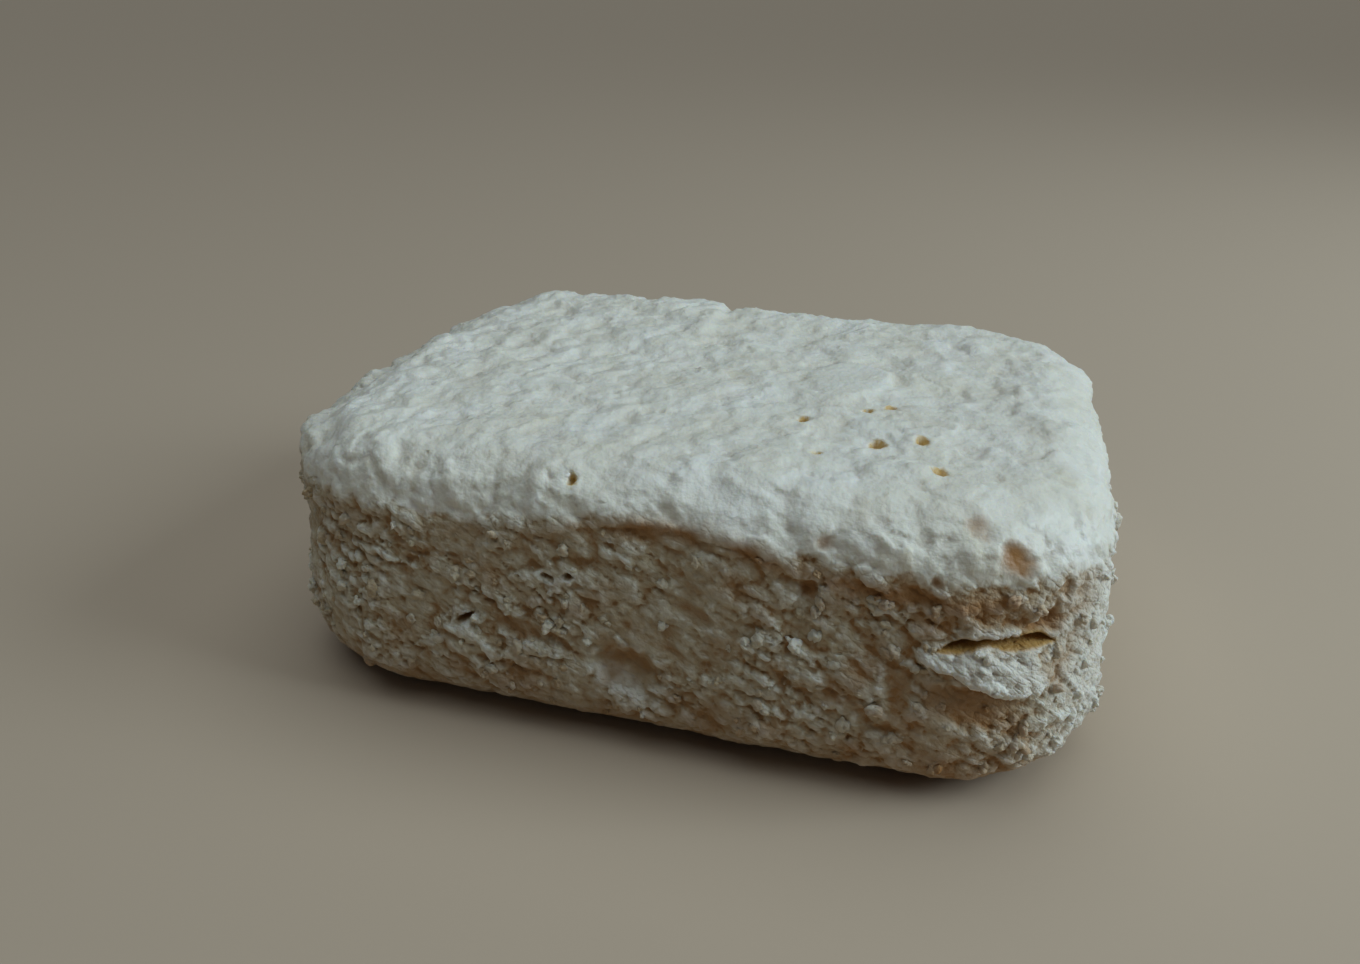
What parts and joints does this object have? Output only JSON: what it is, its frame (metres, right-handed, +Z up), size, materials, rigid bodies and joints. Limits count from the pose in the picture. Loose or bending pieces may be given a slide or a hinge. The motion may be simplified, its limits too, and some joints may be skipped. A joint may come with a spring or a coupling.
{
  "type": "steamed chicken tofu block",
  "caption": "Moulded block of steamed chicken tofu with a smooth rolled-over top skin, crumbly curd sides, a torn slit at one corner and a flat base to rest on.",
  "frame": {"origin": "middle of the block's box in plan, on the flat base that it rests on", "axes": "+X along the block's length, towards the end next to the torn slit; -Y towards the long front face; +Z up"},
  "size_m": [0.1528, 0.1144, 0.0528],
  "materials": {
    "curd": "moist satin curd, pale cream on the top skin, with tan and yellow hollows in the crumbly sides"
  },
  "bodies": {
    "root": {"tofu_block": "curd"}
  },
  "joints": []
}
